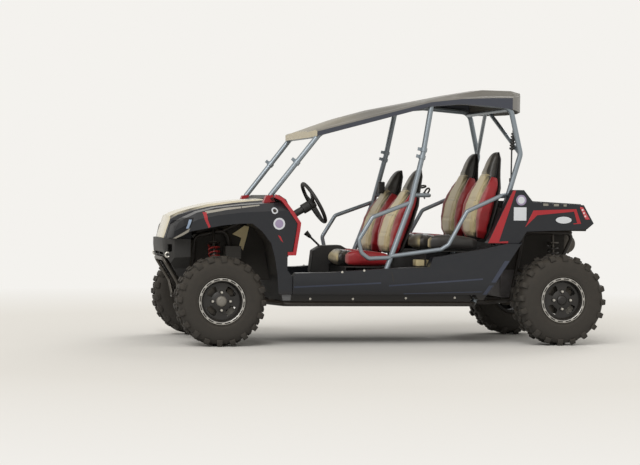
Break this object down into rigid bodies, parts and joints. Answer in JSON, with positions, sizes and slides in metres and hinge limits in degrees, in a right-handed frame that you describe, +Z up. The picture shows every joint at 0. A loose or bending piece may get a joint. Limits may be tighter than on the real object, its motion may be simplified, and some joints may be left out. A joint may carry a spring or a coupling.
{
  "type": "dune buggy",
  "caption": "Open four-seat off-road buggy with a tube roll cage, roof panel, sill and quarter panels, cargo bed and lugged tyres, with wheels that spin and steer",
  "frame": {"origin": "on the ground, below the middle of the length and width", "axes": "+X forward, +Y to the driver's side (left), +Z up"},
  "size_m": [3.343, 1.537, 1.957],
  "materials": {
    "accent_red": "gloss red",
    "body_dark": "gloss dark charcoal",
    "cage_silver": "silver powder coat",
    "cast_parts": "rough cast",
    "engine_alloy": "dull casting",
    "frame_paint": "satin black powder coat",
    "lamp_front": "clear lamp cover",
    "lamp_rear": "red lamp cover",
    "liner_grey": "textured dark grey",
    "rim_black": "satin black",
    "roof_dark": "gloss blue grey",
    "seat_vinyl": "black vinyl",
    "spring_black": "gloss black",
    "spring_red": "gloss red",
    "steel_parts": "bare steel",
    "trim_black": "textured black",
    "tyre_rubber": "black rubber"
  },
  "bodies": {
    "chassis": {"cage_collars": "trim_black", "cage_front_bar": "cage_silver", "cage_middle_hoop": "cage_silver", "cage_rear_bars": "cage_silver", "cage_sides": "cage_silver", "cargo_bed": "trim_black", "centre_console": "liner_grey", "chassis_frame": "frame_paint", "dashboard": "trim_black", "drive_shafts": "steel_parts", "engine_block": "engine_alloy", "flag_mount": "trim_black", "floor_tub": "trim_black", "frame_rails": "frame_paint", "frame_towers": "frame_paint", "front_arms": "frame_paint", "front_bumper": "body_dark", "front_dampers": "steel_parts", "front_fenders": "body_dark", "front_gearcase": "cast_parts", "front_guard": "cage_silver", "front_springs": "spring_red", "front_trim": "accent_red", "gear_lever": "trim_black", "headlamps": "lamp_front", "hood": "body_dark", "pillar_brackets": "accent_red", "rack_housing": "cast_parts", "rear_accents": "accent_red", "rear_arms": "frame_paint", "rear_carriers": "cast_parts", "rear_dampers": "steel_parts", "rear_gearcase": "cast_parts", "rear_quarters": "body_dark", "rear_springs": "spring_black", "reservoir_box": "liner_grey", "rocker_panels": "body_dark", "roof_panel": "roof_dark", "seat_backs_front": "seat_vinyl", "seat_backs_rear": "seat_vinyl", "seat_cushions_front": "seat_vinyl", "seat_cushions_rear": "seat_vinyl", "side_bars": "cage_silver", "silencer": "steel_parts", "steering_column": "trim_black", "tail_lamps": "lamp_rear", "wheel_liners": "liner_grey"},
    "wheel_fl": {"tyre_fl": "tyre_rubber", "rim_fl": "rim_black"},
    "wheel_fr": {"tyre_fr": "tyre_rubber", "rim_fr": "rim_black"},
    "wheel_rl": {"tyre_rl": "tyre_rubber", "rim_rl": "rim_black"},
    "wheel_rr": {"tyre_rr": "tyre_rubber", "rim_rr": "rim_black"},
    "knuckle_l": {"knuckle_left": "cast_parts"},
    "knuckle_r": {"knuckle_right": "cast_parts"},
    "rack": {"rack_bar": "steel_parts"},
    "steering": {"steering_wheel": "trim_black"}
  },
  "joints": [
    {"name": "steer_left", "type": "hinge", "parent": "chassis", "child": "knuckle_l", "pos_m": [1.2895, 0.59, 0.333], "axis": [0, 0, 1], "range_deg": [-28, 28]},
    {"name": "steer_right", "type": "hinge", "parent": "chassis", "child": "knuckle_r", "pos_m": [1.2895, -0.59, 0.333], "axis": [0, 0, 1], "range_deg": [-28, 28]},
    {"name": "rack_slide", "type": "slide", "parent": "chassis", "child": "rack", "axis": [0, 1, 0], "range_m": [-0.0392, 0.0392]},
    {"name": "steering_turn", "type": "hinge", "parent": "chassis", "child": "steering", "pos_m": [0.5165, 0.3, 1.062], "axis": [-0.8607, 0, 0.509], "range_deg": [-252, 252]},
    {"name": "spin_fl", "type": "hinge", "parent": "knuckle_l", "child": "wheel_fl", "pos_m": [1.2895, 0.654, 0.333], "axis": [0, 1, 0], "continuous": true},
    {"name": "spin_fr", "type": "hinge", "parent": "knuckle_r", "child": "wheel_fr", "pos_m": [1.2895, -0.654, 0.333], "axis": [0, 1, 0], "continuous": true},
    {"name": "spin_rl", "type": "hinge", "parent": "chassis", "child": "wheel_rl", "pos_m": [-1.3265, 0.629, 0.345], "axis": [0, 1, 0], "continuous": true},
    {"name": "spin_rr", "type": "hinge", "parent": "chassis", "child": "wheel_rr", "pos_m": [-1.3265, -0.629, 0.345], "axis": [0, 1, 0], "continuous": true}
  ],
  "couplings": [
    {"joint": "steer_right", "follows": "steer_left", "ratio": 1},
    {"joint": "rack_slide", "follows": "steer_left", "m_per_rad": -0.08},
    {"joint": "steering_turn", "follows": "steer_left", "ratio": 9}
  ]
}
